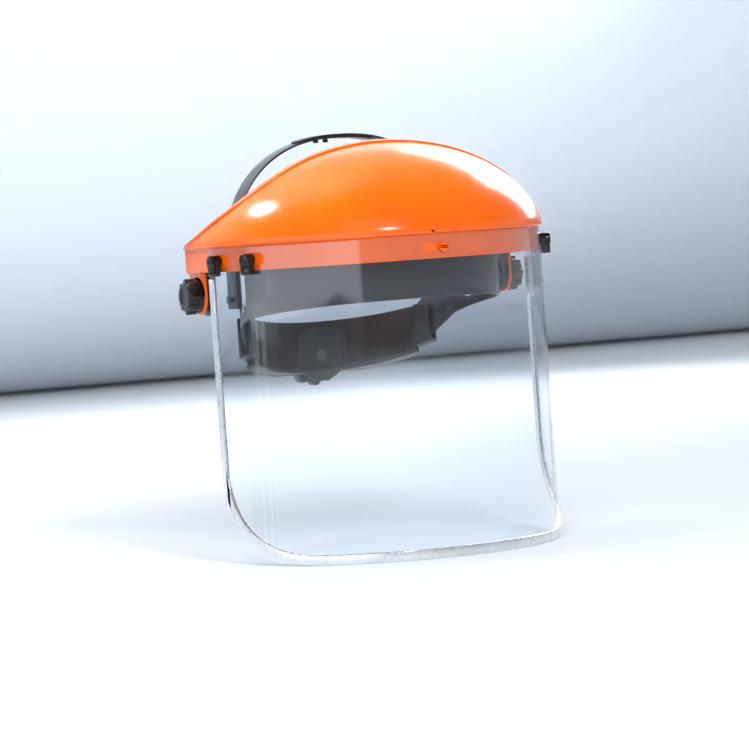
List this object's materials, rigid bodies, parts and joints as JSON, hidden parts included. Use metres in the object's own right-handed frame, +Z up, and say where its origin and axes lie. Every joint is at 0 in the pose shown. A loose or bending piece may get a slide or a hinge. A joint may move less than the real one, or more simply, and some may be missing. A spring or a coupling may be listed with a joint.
{
  "type": "face shield",
  "caption": "Face shield: domed tilting brow crown with ear pivots, curved clear visor with metal-bound edge, and size-adjustable ratchet headgear with crown strap.",
  "frame": {"origin": "centre of the head opening, level with the crown's lower ledge", "axes": "+Z up, -Y to the front (the way the wearer looks), -X to the wearer's right"},
  "size_m": [0.2752, 0.2529, 0.3092],
  "materials": {
    "crown_orange": "glossy injection-moulded ABS",
    "visor_clear": "clear extruded polycarbonate sheet",
    "binding_aluminium": "bright rolled aluminium edging",
    "button_black": "glossy moulded nylon",
    "headband_black": "semi-gloss moulded polyethylene",
    "pad_foam": "matt closed-cell foam with a knitted face",
    "strap_black": "semi-matt moulded polyethylene strap",
    "bolt_steel": "zinc-plated steel",
    "washer_fibre": "matt friction fibre",
    "knob_black": "semi-gloss moulded nylon",
    "insert_brass": "turned brass",
    "nape_plastic": "glossy moulded polyethylene",
    "ratchet_plastic": "moulded acetal",
    "ratchet_knob_grey": "moulded nylon"
  },
  "bodies": {
    "headgear": {"headband": "headband_black", "brow_pad": "pad_foam", "pivot_arm_right": "headband_black", "pivot_arm_left": "headband_black", "crown_strap_right": "strap_black", "crown_strap_left": "strap_black", "size_tail_right": "headband_black", "size_tail_left": "headband_black", "pivot_bolt_right": "bolt_steel", "pivot_bolt_left": "bolt_steel", "friction_washer_right": "washer_fibre", "friction_washer_left": "washer_fibre", "knob_washer_right": "bolt_steel", "knob_washer_left": "bolt_steel"},
    "crown": {"crown_shell": "crown_orange", "visor": "visor_clear", "visor_binding": "binding_aluminium"},
    "star_knob_right": {"star_knob_right": "knob_black", "knob_insert_right": "insert_brass"},
    "star_knob_left": {"star_knob_left": "knob_black", "knob_insert_left": "insert_brass"},
    "nape": {"nape_shell": "nape_plastic", "nape_cover": "nape_plastic", "end_sleeve_right": "knob_black", "end_sleeve_left": "knob_black", "ratchet_ring": "ratchet_plastic"},
    "ratchet": {"ratchet_pinion": "ratchet_plastic", "ratchet_pawl": "ratchet_plastic", "ratchet_knob": "ratchet_knob_grey", "ratchet_screw": "bolt_steel"},
    "turn_button_right_front": {"turn_button_right_front": "button_black"},
    "turn_button_right_rear": {"turn_button_right_rear": "button_black"},
    "turn_button_left_front": {"turn_button_left_front": "button_black"},
    "turn_button_left_rear": {"turn_button_left_rear": "button_black"}
  },
  "joints": [
    {"name": "crown_tilt", "type": "hinge", "parent": "headgear", "child": "crown", "pos_m": [0, 0.026, -0.035], "axis": [-1, 0, 0], "range_deg": [0, 88]},
    {"name": "star_knob_right_turn", "type": "hinge", "parent": "headgear", "child": "star_knob_right", "pos_m": [-0.132, 0.026, -0.035], "axis": [-1, 0, 0], "range_deg": [-180, 180]},
    {"name": "star_knob_left_turn", "type": "hinge", "parent": "headgear", "child": "star_knob_left", "pos_m": [0.132, 0.026, -0.035], "axis": [1, 0, 0], "range_deg": [-180, 180]},
    {"name": "ratchet_turn", "type": "hinge", "parent": "nape", "child": "ratchet", "pos_m": [0, 0.105, -0.088], "axis": [0, 1, 0], "range_deg": [-270, 25]},
    {"name": "nape_slide", "type": "slide", "parent": "headgear", "child": "nape", "axis": [0, -1, 0], "range_m": [-0.0215, 0.0021], "deforming": ["size_tail_right", "size_tail_left"]},
    {"name": "turn_button_right_front_turn", "type": "hinge", "parent": "crown", "child": "turn_button_right_front", "pos_m": [-0.11691, -0.05452, -0.01], "axis": [-0.9063, -0.4226, 0], "range_deg": [0, 90]},
    {"name": "turn_button_right_rear_turn", "type": "hinge", "parent": "crown", "child": "turn_button_right_rear", "pos_m": [-0.12741, -0.02018, -0.01], "axis": [-0.9877, -0.1564, 0], "range_deg": [0, 90]},
    {"name": "turn_button_left_front_turn", "type": "hinge", "parent": "crown", "child": "turn_button_left_front", "pos_m": [0.11691, -0.05452, -0.01], "axis": [-0.9063, 0.4226, 0], "range_deg": [0, 90]},
    {"name": "turn_button_left_rear_turn", "type": "hinge", "parent": "crown", "child": "turn_button_left_rear", "pos_m": [0.12741, -0.02018, -0.01], "axis": [-0.9877, 0.1564, 0], "range_deg": [0, 90]}
  ],
  "couplings": [
    {"joint": "nape_slide", "follows": "ratchet_turn", "m_per_rad": 0.0045}
  ]
}
